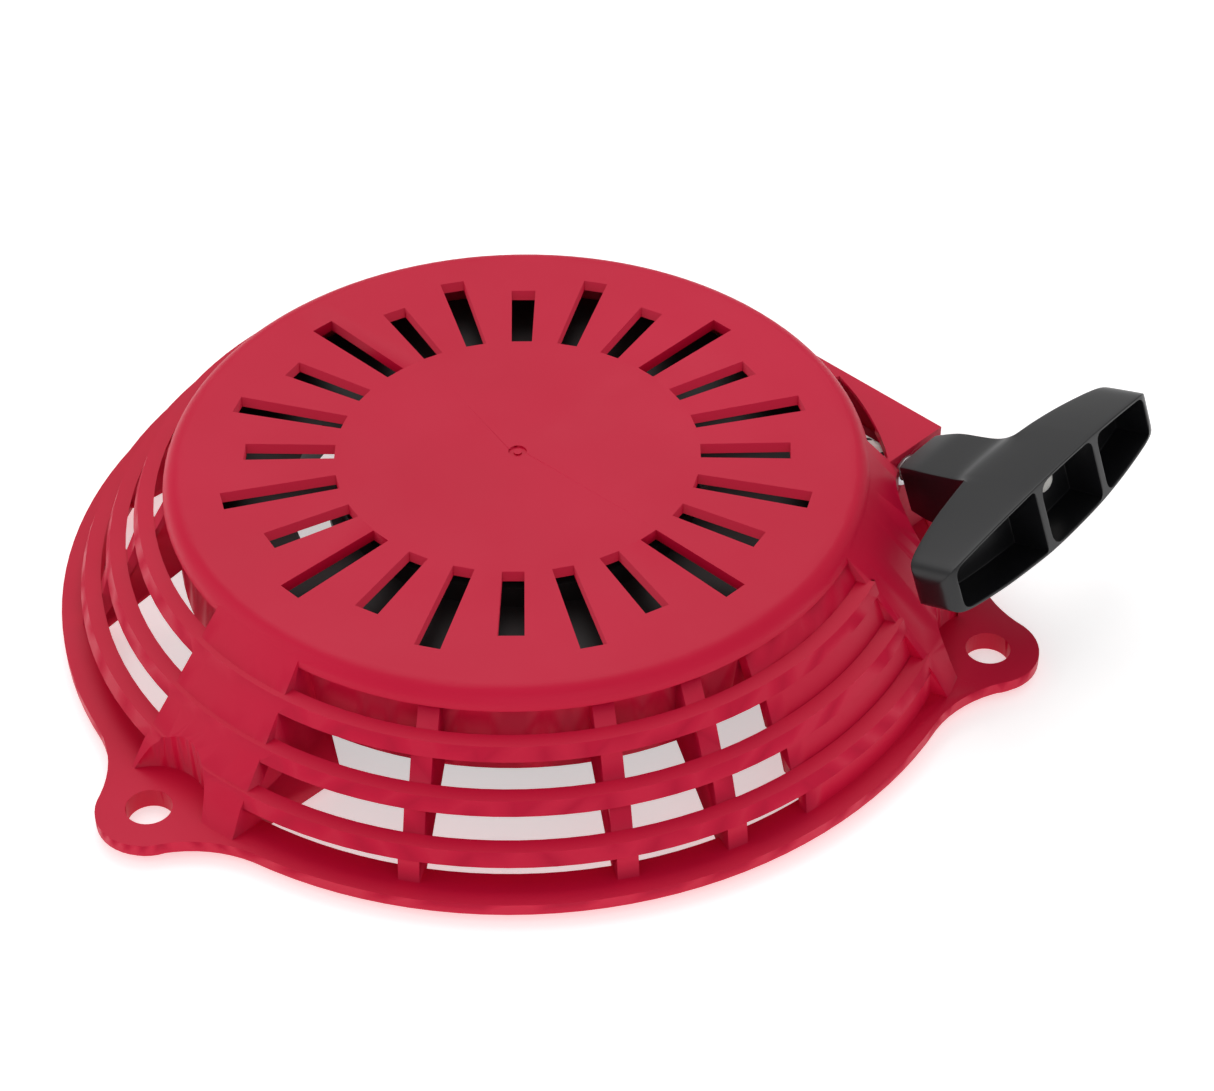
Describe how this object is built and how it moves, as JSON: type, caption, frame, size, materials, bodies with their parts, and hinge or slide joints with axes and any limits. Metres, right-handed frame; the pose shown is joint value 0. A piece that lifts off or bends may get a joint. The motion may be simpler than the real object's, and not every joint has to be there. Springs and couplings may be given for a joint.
{
  "type": "recoil starter",
  "caption": "Pull-rope recoil starter with a vented round housing, three bolt ears, a rope reel with pawls and a T handle.",
  "frame": {"origin": "on the crank axis at the mounting plane, the underside of the ear pads", "axes": "+Z along the crank axis away from the engine, +X along the rope's pull at the outlet"},
  "size_m": [0.185, 0.203, 0.0409],
  "materials": {
    "red_plastic": "satin",
    "black_plastic": "satin",
    "grip_plastic": "satin",
    "spring_steel": "polished",
    "plated_steel": "satin",
    "pawl_steel": "satin",
    "brass": "satin",
    "rope": "matte"
  },
  "bodies": {
    "root": {"housing": "red_plastic", "post_insert": "brass", "recoil_spring": "spring_steel", "rope_lead": "rope", "rope_bush": "plated_steel", "center_screw": "plated_steel", "screw_washer": "plated_steel", "friction_spring": "spring_steel"},
    "reel": {"reel": "black_plastic", "rope_wound": "rope", "rope_reel_knot": "rope", "pawl_spring_a": "spring_steel", "pawl_spring_b": "spring_steel"},
    "guide": {"ratchet_guide": "black_plastic"},
    "pawl_a": {"pawl_a": "pawl_steel"},
    "pawl_b": {"pawl_b": "pawl_steel"},
    "handle": {"handle": "grip_plastic", "rope_handle_end": "rope"}
  },
  "joints": [
    {"name": "reel_spin", "type": "hinge", "parent": "root", "child": "reel", "pos_m": [0, 0, 0.02], "axis": [0, 0, -1], "range_deg": [0, 1260], "stiffness_Nm_per_rad": 0.02, "springref_deg": -687.55, "deforming": ["recoil_spring"]},
    {"name": "handle_pull", "type": "slide", "parent": "root", "child": "handle", "axis": [1, 0, 0], "range_m": [0, 1.243], "deforming": ["rope_lead"]},
    {"name": "guide_turn", "type": "hinge", "parent": "reel", "child": "guide", "pos_m": [0, 0, 0.0085], "axis": [0, 0, 1], "range_deg": [0, 20], "stiffness_Nm_per_rad": 0.02},
    {"name": "pawl_a_swing", "type": "hinge", "parent": "reel", "child": "pawl_a", "pos_m": [0.022, 0, 0.0135], "axis": [0, 0, 1], "range_deg": [0, 30]},
    {"name": "pawl_b_swing", "type": "hinge", "parent": "reel", "child": "pawl_b", "pos_m": [-0.022, 0, 0.0135], "axis": [0, 0, 1], "range_deg": [0, 30]}
  ],
  "couplings": [
    {"joint": "handle_pull", "follows": "reel_spin", "m_per_rad": 0.0565},
    {"joint": "pawl_a_swing", "follows": "guide_turn", "ratio": 1.5},
    {"joint": "pawl_b_swing", "follows": "guide_turn", "ratio": 1.5}
  ]
}
